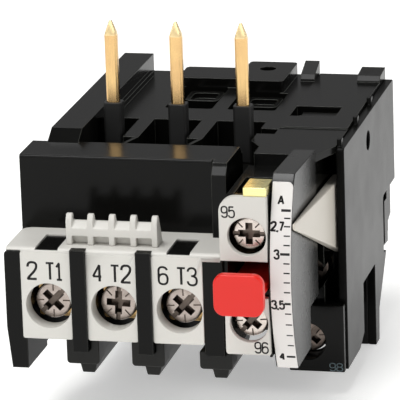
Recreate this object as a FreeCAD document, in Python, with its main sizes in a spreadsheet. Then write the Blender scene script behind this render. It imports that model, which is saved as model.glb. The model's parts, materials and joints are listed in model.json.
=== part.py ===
import FreeCAD, Part
import math
import os

import Sketcher

# Thermal overload relay that plugs into a small contactor by its three blades.
#
# Every sub-part is drawn in the relay's drawing frame: X runs from the outer face
# of the left wall to the right, Y from the front of the terminal faces to the
# back, Z up from the bottom edge of those faces.  At the end each sub-part is
# placed so that the model's origin lies at the centre of its base.

SIZES = {
    # whole relay
    "overall_width": 52.5,
    "housing_depth": 75.0,
    "front_block_depth": 12.0,
    "strip_depth": 8.9,
    "strip_height": 28.4,
    "deck_height": 27.0,
    "floor_drop": 2.0,
    "running_gap": 0.3,
    # main terminals
    "pole_pitch": 11.2,
    "face_width": 8.6,
    "face_height": 14.4,
    "face_depth": 3.0,
    "side_wall": 2.8,
    "wall_drop": 5.3,
    "shelf_thickness": 1.3,
    "divider_proud": 0.5,
    "divider_drop": 2.0,
    "screw_height": 5.8,
    "screw_shift": 0.3,
    "access_radius": 3.9,
    "head_radius": 3.0,
    "head_height": 2.0,
    "shank_radius": 1.7,
    "clamp_thickness": 1.2,
    "bar_thickness": 1.4,
    "bar_half_width": 3.6,
    # plug blades
    "pin_pitch": 11.45,
    "first_pin": 10.9,
    "pin_depth": 34.5,
    "pin_width": 2.2,
    "pin_thickness": 1.6,
    "pin_chamfer": 0.35,
    "pin_top": 46.4,
    "pin_point": 2.6,
    "sleeve_width": 3.2,
    "sleeve_depth": 2.6,
    "sleeve_top": 32.0,
    # openings in the deck
    "first_rib": 14.85,
    "rib_pitch": 11.25,
    "rib_width": 2.7,
    "rib_front": 30.0,
    "web_thickness": 0.6,
    "web_shift": 2.3,
    "pocket_front": 22.7,
    "pocket_back": 42.0,
    "slot_front": 49.5,
    "slot_back": 63.0,
    "pocket_floor": 22.0,
    "slot_floor": 23.4,
    "front_right": 36.1,
    "field_left": 38.2,
    "field_rise": 0.25,
    "end_proud": 2.4,
    "bar_width": 5.4,
    "bar_rise": 3.2,
    # chambers inside
    "chamber_half_width": 3.9,
    "chamber_front": 25.0,
    "chamber_back": 50.0,
    "chamber_roof": 19.0,
    "tunnel_back": 63.0,
    "tunnel_floor": 2.0,
    "tunnel_end": 5.4,
    # auxiliary terminals and reset button
    "aux_left": 36.9,
    "aux_right": 44.9,
    "aux_depth": 1.2,
    "aux_top": 25.8,
    "aux_bottom": -1.3,
    "aux_screw_side": 41.5,
    "upper_aux_height": 19.0,
    "lower_aux_height": 4.1,
    "well_back": 15.2,
    "rear_screw_side": 45.7,
    "rear_lower_height": -7.4,
    "rear_upper_height": 4.0,
    "aux_access_radius": 3.25,
    "aux_head_radius": 2.75,
    "window_bottom": 8.5,
    "window_top": 14.8,
    "button_width": 8.8,
    "button_height": 7.1,
    "button_top": 14.5,
    "button_proud": 6.8,
    "button_plate": 1.7,
    "button_corner": 1.8,
    "stem_width": 6.6,
    "stem_height": 4.6,
    "stem_reach": 14.0,
    "button_travel": 3.0,
    # current scale and its pointer
    "scale_left": 45.0,
    "scale_width": 3.8,
    "scale_top": 28.6,
    "scale_drop": 4.7,
    "scale_radius": 33.5,
    "label_thickness": 0.3,
    "pivot_depth": 33.5,
    "pivot_height": 11.2,
    "pointer_tip": 20.6,
    "pointer_rise": 17.0,
    "pivot_radius": 2.0,
    "right_front": 28.0,
    # side cover and the terminal block under it
    "cover_thickness": 1.4,
    "lower_block_left": 42.5,
    "lower_block_back": 43.0,
    "lower_block_drop": 12.8,
    "lower_block_proud": 2.0,
    "ledge_drop": 0.8,
    "leg_front": 54.0,
    "leg_thickness": 3.2,
    "leg_drop": 17.0,
    # trip mechanism
    "strip_thickness": 0.9,
    "bimetal_bottom": 6.0,
    "bimetal_top": 12.0,
    "bimetal_front": 27.0,
    "bimetal_back": 58.0,
    "winding_front": 31.0,
    "winding_back": 47.0,
    "winding_wall": 1.4,
    "slide_front": 54.5,
    "slide_thickness": 2.4,
    "slide_bottom": 13.2,
    "slide_height": 2.6,
    "trip_arm": 10.0,
    "trip_lever_side": 46.4,
}

POLES = 3


class Size:
    """A length that knows its value and the sheet formula it comes from."""

    def __init__(self, value, formula):
        self.value = value
        self.formula = formula

    def _join(self, other, sign, value):
        return Size(value, f"({self.formula} {sign} {as_size(other).formula})")

    def __add__(self, other):
        return self._join(other, "+", self.value + as_size(other).value)

    def __sub__(self, other):
        return self._join(other, "-", self.value - as_size(other).value)

    def __mul__(self, other):
        return self._join(other, "*", self.value * as_size(other).value)

    def __truediv__(self, other):
        return self._join(other, "/", self.value / as_size(other).value)

    def __radd__(self, other):
        return as_size(other) + self

    def __rsub__(self, other):
        return as_size(other) - self

    def __rmul__(self, other):
        return as_size(other) * self

    def __neg__(self):
        return as_size(0) - self


def as_size(number):
    """Wrap a plain number, so that numbers and sheet sizes mix freely."""
    if isinstance(number, Size):
        return number
    return Size(float(number), f"({number})")


class Sheet:
    """The driving dimensions, each as a Size under its own name."""

    def __init__(self, document):
        table = document.addObject("Spreadsheet::Sheet", "Params")
        for row, (name, value) in enumerate(SIZES.items(), start=1):
            table.set(f"A{row}", name)
            table.set(f"B{row}", str(value))
            table.setAlias(f"B{row}", name)
            setattr(self, name, Size(value, "Params." + name))


doc = FreeCAD.newDocument("overload_relay")
p = Sheet(doc)
doc.recompute()

# Where the frame's origin lies in the drawing frame: the middle of the base of
# the box from the button's face to the back and from the foot of the leg up.
centre_x = p.overall_width / 2
centre_y = (p.housing_depth - p.button_proud) / 2
base_z = -p.leg_drop

# ----------------------------------------------------------------------------
# Drawing helpers
# ----------------------------------------------------------------------------

PLANES = {"XY": ("XY_Plane", 1), "XZ": ("XZ_Plane", -1), "YZ": ("YZ_Plane", 1)}
AXES = ("x", "y", "z")


def bind(thing, prop, size):
    thing.setExpression(prop, as_size(size).formula)


def new_body(label):
    body = doc.addObject("PartDesign::Body", label)
    body.Label = label
    return body


def place(body, x=0, y=0, z=0, rotation=None):
    """Put a body at a point of the drawing frame, seen from the model's origin."""
    spots = (x - centre_x, y - centre_y, z - base_z)
    if rotation:
        body.Placement = FreeCAD.Placement(FreeCAD.Vector(), rotation)
    for axis, spot in zip(AXES, spots):
        bind(body, "Placement.Base." + axis, spot)
    return body


def new_sketch(body, name, plane, offset):
    role, _ = PLANES[plane]
    sketch = body.newObject("Sketcher::SketchObject", name)
    origin_plane = [item for item in body.Origin.OriginFeatures if item.Role == role][0]
    sketch.AttachmentSupport = [(origin_plane, "")]
    sketch.MapMode = "FlatFace"
    sketch.AttachmentOffset = FreeCAD.Placement(
        FreeCAD.Vector(0, 0, offset.value), FreeCAD.Rotation()
    )
    bind(sketch, "AttachmentOffset.Base.z", offset)
    return sketch


def pin_point(sketch, geometry, point, u, v):
    """Hold a point at u, v from the sketch's origin."""
    for kind, size in (("DistanceX", u), ("DistanceY", v)):
        index = sketch.addConstraint(
            Sketcher.Constraint(kind, -1, 1, geometry, point, size.value)
        )
        bind(sketch, f"Constraints[{index}]", size)


def draw_circle(sketch, u, v, radius):
    u, v, radius = as_size(u), as_size(v), as_size(radius)
    centre = FreeCAD.Vector(u.value, v.value, 0)
    circle = sketch.addGeometry(
        Part.Circle(centre, FreeCAD.Vector(0, 0, 1), radius.value), False
    )
    pin_point(sketch, circle, 3, u, v)
    index = sketch.addConstraint(Sketcher.Constraint("Radius", circle, radius.value))
    bind(sketch, f"Constraints[{index}]", radius)


def round_corner(before, corner, after, radius):
    """Where an arc leaves and meets its two lines, its arc, and if it turns left."""
    back = (before - corner).normalize()
    ahead = (after - corner).normalize()
    half = back.getAngle(ahead) / 2
    reach = radius / math.tan(half)
    start, end = corner + back * reach, corner + ahead * reach
    centre = corner + (back + ahead).normalize() * (radius / math.sin(half))
    left = (corner - before).cross(after - corner).z > 0
    first, last = (start, end) if left else (end, start)
    angles = [math.atan2(spot.y - centre.y, spot.x - centre.x) for spot in (first, last)]
    circle = Part.Circle(centre, FreeCAD.Vector(0, 0, 1), radius)
    return start, end, Part.ArcOfCircle(circle, angles[0], angles[1]), left


def draw_outline(sketch, points):
    """Close a profile through (u, v) corners; (u, v, radius) is a rounded one."""
    sized = [[as_size(item) for item in point] for point in points]
    spots = [FreeCAD.Vector(item[0].value, item[1].value, 0) for item in sized]
    count = len(spots)
    starts, ends, arcs, lefts = list(spots), list(spots), {}, {}
    for i, item in enumerate(sized):
        if len(item) == 3:
            corner = round_corner(
                spots[i - 1], spots[i], spots[(i + 1) % count], item[2].value
            )
            starts[i], ends[i], arcs[i], lefts[i] = corner
    lines = [
        sketch.addGeometry(Part.LineSegment(ends[i], starts[(i + 1) % count]), False)
        for i in range(count)
    ]
    for i, item in enumerate(sized):
        before, after = lines[i - 1], lines[i]
        if i not in arcs:
            sketch.addConstraint(Sketcher.Constraint("Coincident", before, 2, after, 1))
            pin_point(sketch, after, 1, item[0], item[1])
            continue
        arc = sketch.addGeometry(arcs[i], False)
        near, far = (1, 2) if lefts[i] else (2, 1)
        sketch.addConstraint(Sketcher.Constraint("Tangent", before, 2, arc, near))
        sketch.addConstraint(Sketcher.Constraint("Tangent", arc, far, after, 1))
        index = sketch.addConstraint(Sketcher.Constraint("Radius", arc, item[2].value))
        bind(sketch, f"Constraints[{index}]", item[2])
        corner = sketch.addGeometry(Part.Point(spots[i]), True)
        for line in (before, after):
            sketch.addConstraint(Sketcher.Constraint("PointOnObject", corner, 1, line))
        pin_point(sketch, corner, 1, item[0], item[1])


def draw(sketch, shapes):
    for shape in shapes:
        if isinstance(shape, tuple):
            draw_circle(sketch, *shape)
        else:
            draw_outline(sketch, shape)


def extrude(body, kind, name, plane, low, high, shapes):
    """Pad or pocket shapes between two heights along the plane's axis."""
    low, high = as_size(low), as_size(high)
    _, sign = PLANES[plane]
    start = low if (kind == "Pad") == (sign > 0) else high
    sketch = new_sketch(body, name + "_sketch", plane, start * sign)
    draw(sketch, shapes)
    feature = body.newObject("PartDesign::" + kind, name)
    feature.Profile = sketch
    feature.Length = (high - low).value
    bind(feature, "Length", high - low)
    return feature


def pad(body, name, plane, low, high, *shapes):
    return extrude(body, "Pad", name, plane, low, high, shapes)


def pocket(body, name, plane, low, high, *shapes):
    return extrude(body, "Pocket", name, plane, low, high, shapes)


def rect(left, bottom, right, top, radius=None):
    corners = [(left, bottom), (right, bottom), (right, top), (left, top)]
    if radius is None:
        return corners
    return [corner + (radius,) for corner in corners]


def block(label, x, y, z):
    """A plain rectangular piece between pairs of low and high sizes."""
    body = new_body(label)
    pad(body, label + "_pad", "XY", z[0], z[1], rect(x[0], y[0], x[1], y[1]))
    return place(body)


# ----------------------------------------------------------------------------
# Places that several sub-parts share
# ----------------------------------------------------------------------------


def face_left(pole):
    return p.side_wall + p.pole_pitch * pole


def screw_side(pole):
    return face_left(pole) + p.face_width / 2 + p.screw_shift


def pin_side(pole):
    return p.first_pin + p.pin_pitch * pole


def divider_side(index):
    """Left side of the divider that follows a pole's face."""
    return face_left(index) + p.face_width


divider_width = p.pole_pitch - p.face_width
panel_left = face_left(2) + p.face_width
panel_right = p.aux_left + 0.3
shelf_top = p.face_height + p.shelf_thickness
cover_inside = p.overall_width - p.cover_thickness
bar_front = p.front_block_depth - p.bar_thickness
head_front = p.face_depth + 0.2
clamp_front = head_front + p.head_height
bar_bottom = p.screw_height - 3.4
front_step = p.front_block_depth + p.strip_depth
deck_front = front_step + 1.2
deck_left = p.side_wall + p.bar_width
button_left = p.aux_screw_side - p.button_width / 2
scale_right = p.scale_left + p.scale_width
pointer_left = scale_right + 0.15
pointer_right = cover_inside - p.running_gap


# ----------------------------------------------------------------------------
# Housing
# ----------------------------------------------------------------------------


def base_housing():
    """Lower tub: pole chambers, the tunnel of the slide and the bars' slots."""
    body = new_body("base_housing")
    back = p.housing_depth
    pad(body, "front_part", "XY", -p.floor_drop, shelf_top, rect(
        p.side_wall, p.front_block_depth, p.front_right, deck_front + 1))
    pad(body, "tub", "XY", -p.floor_drop, p.chamber_roof, [
        (p.side_wall, deck_front),
        (p.scale_left, deck_front),
        (p.scale_left, p.right_front),
        (cover_inside, p.right_front),
        (cover_inside, back),
        (p.side_wall, back),
    ])
    pocket(body, "pole_chambers", "XY", -p.floor_drop - 0.5, p.chamber_roof + 1, *[
        rect(pin_side(i) - p.chamber_half_width, p.chamber_front,
             pin_side(i) + p.chamber_half_width, p.chamber_back, 1.0)
        for i in range(POLES)
    ])
    pocket(body, "slide_tunnel", "YZ", p.tunnel_end, cover_inside + 1, rect(
        p.chamber_back - 2, p.tunnel_floor, p.tunnel_back, p.chamber_roof + 1))
    pocket(body, "bar_slots", "XZ", p.front_block_depth - 1, p.bimetal_front, *[
        rect(screw_side(i), bar_bottom, pin_side(i) + p.strip_thickness / 2,
             bar_bottom + p.bar_thickness)
        for i in range(POLES)
    ])
    pocket(body, "bottom_seat", "XY", -p.floor_drop - 0.5, -p.floor_drop + 1.2, rect(
        p.side_wall + 2.0, p.chamber_front - 2, 40.0, p.chamber_back + 2, 1.0))
    pocket(body, "stem_room", "XZ", deck_front - 1, deck_front + 4, stem_guide())
    pointer_recess(body)
    pocket(body, "pivot_bore", "YZ", scale_right - 5, pointer_left, (
        p.pivot_depth, p.pivot_height, p.pivot_radius))
    pocket(body, "rear_screw_well", "XZ", p.right_front - 1, p.right_front + 8.6, (
        p.rear_screw_side, p.rear_upper_height, p.aux_access_radius))
    return place(body)


def pointer_recess(body):
    """Slot beside the side cover in which the pointer's root swings."""
    pocket(body, "pointer_recess", "YZ", pointer_left - p.running_gap, cover_inside + 1, rect(
        deck_front - 1, p.pivot_height - p.pointer_rise, p.pivot_depth + 6.5,
        p.pivot_height + p.pointer_rise - 2.4))


def stem_guide():
    """Cross-section of the shaft in which the button's stem slides."""
    gap = p.running_gap
    half = p.stem_width / 2 + gap
    stem_bottom = p.button_top - p.stem_height
    return rect(p.aux_screw_side - half, stem_bottom - gap,
                p.aux_screw_side + half, p.button_top - 0.2 + gap)


def deck_frame():
    """Upper half of the housing: the front block and the deck behind it."""
    body = new_body("deck_frame")
    back = p.housing_depth
    front = p.front_block_depth
    foot = [
        (front_step, p.strip_height),
        (front_step + 1.2, p.deck_height),
        (front_step + 1.2, p.chamber_roof),
        (front_step, shelf_top),
    ]
    end_front = front - p.end_proud
    pad(body, "front_block", "YZ", 0, p.front_right - 2.9, [
        (front, shelf_top), (front, p.strip_height, 0.5)] + foot)
    pad(body, "front_block_groove", "YZ", p.front_right - 3.2, p.front_right, [
        (front + 0.7, shelf_top), (front + 0.7, p.strip_height, 0.5)] + foot)
    pad(body, "front_block_end", "YZ", p.front_right - 2.5, p.front_right, [
        (end_front, shelf_top), (end_front, p.strip_height - 1.9),
        (end_front + 1.1, p.strip_height - 0.6), (end_front + 1.1, p.strip_height)] + foot)
    pad(body, "deck", "XY", p.chamber_roof, p.deck_height, [
        (p.side_wall, front_step),
        (p.front_right, front_step),
        (p.front_right, p.rib_front),
        (p.field_left, p.rib_front - 3.6),
        (p.field_left, deck_front),
        (scale_right, deck_front),
        (cover_inside, p.right_front),
        (cover_inside, back),
        (p.side_wall, back),
    ])
    pad(body, "rear_field", "XY", p.deck_height - 1, p.deck_height + p.field_rise, rect(
        39.2, 38.6, cover_inside, back))
    bar_top = p.deck_height + p.bar_rise
    pad(body, "left_bar", "YZ", p.side_wall, deck_left, [
        (front_step - 1, p.strip_height - 1),
        (front_step - 1, p.strip_height),
        (front_step + 2.2, bar_top),
        (back, bar_top),
        (back, p.deck_height - 2),
        (front_step + 1.0, p.deck_height - 2),
    ])
    pad(body, "bar_ledge", "XY", p.deck_height - 1, p.deck_height + 0.9, rect(
        deck_left - 0.5, 44.0, deck_left + 0.8, back - 4))
    pad(body, "back_block_left", "XY", p.deck_height - 1, p.deck_height + 1.7, rect(
        15.2, p.slot_back + 1.2, 27.0, back - 3, 0.8))
    pad(body, "back_block_right", "XY", p.deck_height - 1, p.deck_height + 2.2, rect(
        26.4, p.slot_back - 1.6, p.front_right - 1, back, 0.8))
    pad(body, "hook", "YZ", 36.5, 39.1, [
        (back - 5.0, p.deck_height - 1), (back - 5.0, p.deck_height + 0.4),
        (back - 4.3, p.deck_height + 1.2), (back, p.deck_height + 2.6),
        (back, p.deck_height - 1),
    ])
    pad(body, "back_tab", "YZ", 46.9, cover_inside, [
        (back - 5.5, p.deck_height - 1), (back - 5.5, p.deck_height + 0.5),
        (back - 4.7, p.deck_height + 1.3), (back, p.deck_height + 1.7),
        (back, p.deck_height - 1),
    ])
    deck_openings(body)
    pointer_recess(body)
    return place(body)


def deck_openings(body):
    """Pockets round the blades, slots behind the cross bar, and the recess."""
    rib_left = [p.first_rib - p.rib_width / 2 + p.rib_pitch * i for i in range(2)]
    rib_right = [left + p.rib_width for left in rib_left]
    shift, web = p.web_shift, p.web_thickness
    starts = [
        [(deck_left, p.pocket_back), (deck_left, p.pocket_front)],
        [(rib_right[0], p.pocket_back), (rib_right[0], p.rib_front),
         (rib_right[0] - shift, p.pocket_front)],
        [(rib_right[1], p.pocket_back), (rib_right[1], p.rib_front),
         (rib_right[1] - shift, p.pocket_front)],
    ]
    ends = [
        [(right - shift - web, p.pocket_front), (right - web, p.rib_front),
         (left, p.rib_front), (left, p.pocket_back)]
        for left, right in zip(rib_left, rib_right)
    ] + [[(p.front_right, p.pocket_front), (p.front_right, p.pocket_back)]]
    pocket(body, "pin_pockets", "XY", p.pocket_floor, p.deck_height + 3, *[
        start + end for start, end in zip(starts, ends)
    ])
    pocket(body, "side_notch", "XY", p.deck_height - 3, p.deck_height + 3, rect(
        p.front_right - 0.5, 34.4, 39.2, 37.7))
    pocket(body, "blade_holes", "XY", p.chamber_roof - 1, p.pocket_floor + 1, *[
        blade_section(i) for i in range(POLES)
    ])
    pillow_top = p.deck_height - 0.4
    pillow_back = p.slot_back - 0.2
    slots = [
        (rib_right[0], rib_left[1], p.slot_back + 1.2, pillow_back),
        (rib_right[1], p.front_right, p.slot_back - 1.6, pillow_back - 3.2),
    ]
    pocket(body, "rear_slots", "XY", p.slot_floor, p.deck_height + 3, *[
        rect(left, p.slot_front, right, slot_end, 0.6) for left, right, slot_end, _ in slots
    ])
    pad(body, "pillows", "XY", p.slot_floor - 0.5, pillow_top, *[
        rect(left + 2.0, pillow_end - 6.5, right - 0.5, pillow_end, 1.0)
        for left, right, _, pillow_end in slots
    ])
    pocket(body, "pillow_dishes", "XY", pillow_top - 1.0, pillow_top + 1, *[
        rect(left + 2.8, pillow_end - 5.8, right - 1.2, pillow_end - 1.2, 0.8)
        for left, right, _, pillow_end in slots
    ])
    pocket(body, "deck_recess", "XY", p.deck_height - 1.6, p.deck_height + 0.5, rect(
        39.5, 45.6, 47.6, 52.3))
    pad(body, "recess_plate", "XY", p.deck_height - 2, p.deck_height - 0.5, rect(
        41.0, 45.5, 47.7, 50.8))
    pocket(body, "back_hole", "XY", p.deck_height - 2, p.deck_height + 2.7, (
        30.6, p.housing_depth - 5.0, 1.5))


def terminal_frame():
    """Walls between and beside the main terminals."""
    body = new_body("terminal_frame")
    front = p.front_block_depth
    pad(body, "left_wall", "XZ", 0, front, [
        (0, shelf_top - 0.5, 0.8),
        (0, 1.8),
        (0.7, -p.wall_drop),
        (p.side_wall + 0.7, -p.wall_drop),
        (p.side_wall + 0.7, -0.1),
        (p.side_wall, -0.1),
        (p.side_wall, shelf_top - 0.5),
    ])
    pad(body, "left_wall_root", "XZ", front - 1, front_step, rect(
        0.95, -p.wall_drop, p.side_wall, 0))
    pad(body, "left_wall_back", "XZ", front, front_step, rect(
        0, 0 - 0.5, p.side_wall, shelf_top))
    pad(body, "floor_web", "XZ", front - 1.5, front, rect(
        1.0, -p.floor_drop, panel_right, bar_bottom - 0.2))
    pad(body, "dividers", "XZ", -p.divider_proud, front, *[
        rect(divider_side(i), -p.divider_drop, divider_side(i) + divider_width, p.face_height)
        for i in range(2)
    ])
    pad(body, "divider_caps", "XZ", -p.divider_proud, 1.2, *[
        rect(divider_side(i), p.face_height - 0.5, divider_side(i) + divider_width, shelf_top)
        for i in range(2)
    ])
    pad(body, "panel", "XZ", 0.3, front, rect(
        panel_left, -p.divider_drop, panel_right, p.face_height))
    return place(body)


def aux_block():
    """Block behind the auxiliary covers: two terminal wells and the stem's shaft."""
    body = new_body("aux_block")
    left, right = panel_right + 0.1, p.scale_left
    pad(body, "block", "XY", -p.floor_drop, p.aux_top - 1, rect(
        left, p.aux_depth, right, deck_front))
    wall_left, wall_right = p.aux_screw_side - 3.1, p.aux_screw_side + 3.1
    pad(body, "lug_rest", "XY", p.aux_top - 2, p.aux_top, rect(
        wall_right, p.aux_depth, right, p.aux_depth + 6))
    pocket(body, "wells", "XZ", p.aux_depth - 1, p.well_back,
           rect(wall_left, p.upper_aux_height - 3.4, wall_right, p.aux_top + 1),
           rect(wall_left, -p.floor_drop - 1, wall_right, p.lower_aux_height + 3.5))
    pocket(body, "shaft", "XZ", p.aux_depth - 1, deck_front + 1, stem_guide())
    pocket(body, "guide_seat", "XZ", p.aux_depth - 1, 4.8, rect(
        left - 1, -p.floor_drop - 1, left + 1.1, p.aux_bottom))
    return place(body)


def rear_terminal_block():
    """Block of the rear auxiliary terminal and the leg behind it."""
    body = new_body("rear_terminal_block")
    drop, top = -p.lower_block_drop, -p.floor_drop
    left = p.lower_block_left
    front = p.right_front - p.lower_block_proud
    pad(body, "ledge", "XY", drop, top, rect(
        left, front, p.overall_width - 0.3, p.right_front))
    pad(body, "ledge_top", "XY", top - 0.5, -p.ledge_drop, rect(
        p.scale_left, front, p.overall_width - 0.3, p.right_front))
    pad(body, "block", "XY", drop, top, rect(
        left, p.right_front, cover_inside, p.lower_block_back))
    pad(body, "roof", "XY", top - 1.2, top, rect(
        left, p.lower_block_back - 1, cover_inside, p.leg_front + 1))
    pocket(body, "access_hole", "XZ", front - 1, p.right_front + 4, (
        p.rear_screw_side, p.rear_lower_height, p.aux_access_radius))
    pocket(body, "wire_well", "XY", drop - 1, top - 1.6, rect(
        left + 0.4, p.right_front + 3.5, cover_inside - 1, p.lower_block_back - 2.5))
    pad(body, "rear_leg", "YZ", left, cover_inside, [
        (p.leg_front, top),
        (p.leg_front, -p.leg_drop),
        (p.leg_front + p.leg_thickness, -p.leg_drop, 0.5),
        (p.leg_front + p.leg_thickness + 0.5, -11.2),
        (65.7, -2.6),
        (65.7, top),
    ])
    return place(body)


def side_cover():
    body = new_body("side_cover")
    back = p.housing_depth
    pad(body, "plate", "YZ", cover_inside, p.overall_width, [
        (p.right_front, p.deck_height - 0.4, 0.6),
        (back, p.deck_height - 0.4, 0.6),
        (back, 1.4),
        (back - 3, 0.4),
        (back - 3, -3.1),
        (65.7, -2.6),
        (p.leg_front + p.leg_thickness + 0.5, -11.2),
        (p.leg_front + p.leg_thickness, -p.leg_drop),
        (p.leg_front, -p.leg_drop),
        (p.leg_front, -p.floor_drop),
        (p.lower_block_back, -p.floor_drop),
        (p.lower_block_back, -11.0),
        (p.lower_block_back - 4, -p.lower_block_drop, 0.8),
        (p.right_front, -p.lower_block_drop),
    ])
    pocket(body, "finger_notch", "YZ", p.overall_width - 0.9, p.overall_width + 0.5, [
        (back - 12, 8.0, 1.0), (back + 1, 8.0), (back + 1, -4), (back - 12, -2.5),
    ])
    pocket(body, "test_hole", "YZ", cover_inside - 0.5, p.overall_width + 0.5, (50.0, 22.0, 1.7))
    pad(body, "snap_hooks", "XY", p.deck_height - 1.4, p.deck_height + 0.9, *[
        rect(cover_inside, depth, cover_inside + 0.8, depth + 1.6) for depth in (29.0, 43.5, 56.5)
    ])
    return place(body)


def bottom_plate():
    low = -p.floor_drop
    body = new_body("bottom_plate")
    pad(body, "plate", "XY", low, low + 1.2, rect(
        p.side_wall + 2.0, p.chamber_front - 2, 40.0, p.chamber_back + 2, 1.0))
    return place(body)


def main_terminal_cover():
    """Three terminal faces hanging from one shelf, notched round the dividers."""
    body = new_body("main_terminal_cover")
    right = p.aux_left - 0.1
    pad(body, "shelf", "YZ", 0.3, right, [
        (0.2, p.face_height),
        (0.2, shelf_top, 0.9),
        (p.front_block_depth, shelf_top),
        (p.front_block_depth, p.face_height),
    ])
    for i in range(POLES):
        pad(body, f"face_{i + 1}", "XZ", 0, p.face_depth, rect(
            face_left(i), 0, face_left(i) + p.face_width, p.face_height + 0.7, 0.4))
    pocket(body, "access_holes", "XZ", -1, p.face_depth + 1, *[
        (screw_side(i), p.screw_height, p.access_radius) for i in range(POLES)
    ])
    pocket(body, "divider_notches", "XZ", -1, 1.2, *[
        rect(divider_side(i), p.face_height - 1, divider_side(i) + divider_width, shelf_top + 1)
        for i in range(2)
    ])
    pocket(body, "wall_notch", "XZ", -1, p.front_block_depth + 1, rect(
        -1, p.face_height - 1, p.side_wall, shelf_top - 0.5))
    pocket(body, "marking_slots", "XY", p.face_height - 3, shelf_top + 1, *[
        rect(left, 0.9, left + 3.3, 8.4) for left in (5.5, 28.0)
    ])
    return place(body)


def label_comb():
    """Comb that stands on the shelf and carries the marking tags."""
    body = new_body("label_comb")
    front = 2.8
    left, pitch, fin = 10.1, 3.66, 1.0
    pad(body, "back_rail", "YZ", left, left + pitch * 4 + fin, [
        (front + 1.5, shelf_top), (front + 1.2, shelf_top + 1.5), (front, shelf_top + 1.5),
        (front, shelf_top + 2.9), (front + 1.4, shelf_top + 3.9), (front + 1.9, shelf_top + 3.9),
        (front + 3.6, shelf_top),
    ])
    for i in range(5):
        pad(body, f"fin_{i + 1}", "YZ", left + pitch * i, left + pitch * i + fin, [
            (front, shelf_top), (front, shelf_top + 4.0), (front + 0.7, shelf_top + 5.2, 0.3),
            (front + 1.5, shelf_top + 5.2, 0.3), (front + 3.9, shelf_top),
        ])
    return place(body)


def wire_guides():
    """Feet that straddle the ends of the dividers and guide the wires."""
    sides = [divider_side(i) + divider_width / 2 for i in range(2)] + [panel_right - 1.7]
    for i, side in enumerate(sides):
        body = new_body(f"wire_guide_{i + 1}")
        top = -0.3 if i < 2 else p.aux_bottom - 0.1
        bottom, tip = -4.5, -7.1
        pad(body, "foot", "XZ", 0.9, 4.7, [
            (side - 2.8, top), (side - 2.8, bottom, 0.6), (side + 2.8, bottom, 0.6),
            (side + 2.8, top),
        ])
        pad(body, "rib", "XZ", 4.2, 20.0, [
            (side - 1.7, -p.divider_drop), (side - 1.7, bottom), (side - 1.05, tip),
            (side + 1.05, tip), (side + 1.7, bottom), (side + 1.7, -p.divider_drop),
        ])
        half = divider_width / 2 if i < 2 else as_size(1.7)
        pocket(body, "divider_seat", "XZ", 0, 6, rect(
            side - half, -p.divider_drop, side + half, 1))
        place(body)


# ----------------------------------------------------------------------------
# Terminals
# ----------------------------------------------------------------------------


def screw(label, x, y, z, head_radius, shank_radius, length, angle):
    """Terminal screw along +Y with a slot and a cross in its head."""
    body = new_body(label)
    head = p.head_height
    sketch = new_sketch(body, "profile", "XY", as_size(0))
    draw(sketch, [[
        (0, 0), (head_radius - 0.4, 0), (head_radius, 0.4), (head_radius, head),
        (shank_radius, head), (shank_radius, length), (0, length),
    ]])
    turned = body.newObject("PartDesign::Revolution", "turned")
    turned.Profile = sketch
    turned.ReferenceAxis = (sketch, ["V_Axis"])
    pocket(body, "slot", "XZ", -0.5, 0.9, rect(-head_radius - 1, -0.45, head_radius + 1, 0.45))
    pocket(body, "cross", "XZ", -0.5, 1.4, rect(-0.5, -1.9, 0.5, 1.9))
    return place(body, x, y, z, FreeCAD.Rotation(FreeCAD.Vector(0, 1, 0), angle))


def main_terminals():
    for i, angle in enumerate((45, 80, 40)):
        side = screw_side(i)
        height = p.screw_height
        screw(f"terminal_screw_{i + 1}", side, head_front, height, p.head_radius,
              p.shank_radius, p.front_block_depth - head_front, angle)
        clamp = new_body(f"terminal_clamp_{i + 1}")
        pad(clamp, "plate", "XZ", clamp_front, clamp_front + p.clamp_thickness, rect(
            side - 3.1, height - 3.3, side + 3.1, height + 2.6, 0.5), (
            side, height, p.shank_radius))
        place(clamp)
        bar = new_body(f"terminal_bar_{i + 1}")
        pad(bar, "plate", "XZ", bar_front, p.front_block_depth, rect(
            side - p.bar_half_width, bar_bottom, side + p.bar_half_width, height + 4.4, 0.6), (
            side, height, p.shank_radius))
        pad(bar, "leg", "XY", bar_bottom, bar_bottom + p.bar_thickness, rect(
            side, p.front_block_depth, pin_side(i) + p.strip_thickness / 2,
            p.bimetal_front))
        pad(bar, "tab", "XY", bar_bottom, p.bimetal_top, rect(
            pin_side(i) - p.strip_thickness * 1.5, p.bimetal_front - p.bar_thickness,
            pin_side(i) + p.strip_thickness / 2, p.bimetal_front))
        place(bar)


def blade_section(pole):
    return cut_rectangle(pole, p.pin_width / 2, p.pin_thickness / 2)


def cut_rectangle(pole, half_width, half_thick):
    """Rectangle about a blade's middle with its four corners cut off."""
    side, depth, cut = pin_side(pole), p.pin_depth, p.pin_chamfer
    quarter = [(half_width, half_thick - cut), (half_width - cut, half_thick)]
    return (
        [(side + u, depth + v) for u, v in quarter]
        + [(side - u, depth + v) for u, v in reversed(quarter)]
        + [(side - u, depth - v) for u, v in quarter]
        + [(side + u, depth - v) for u, v in reversed(quarter)]
    )


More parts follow.
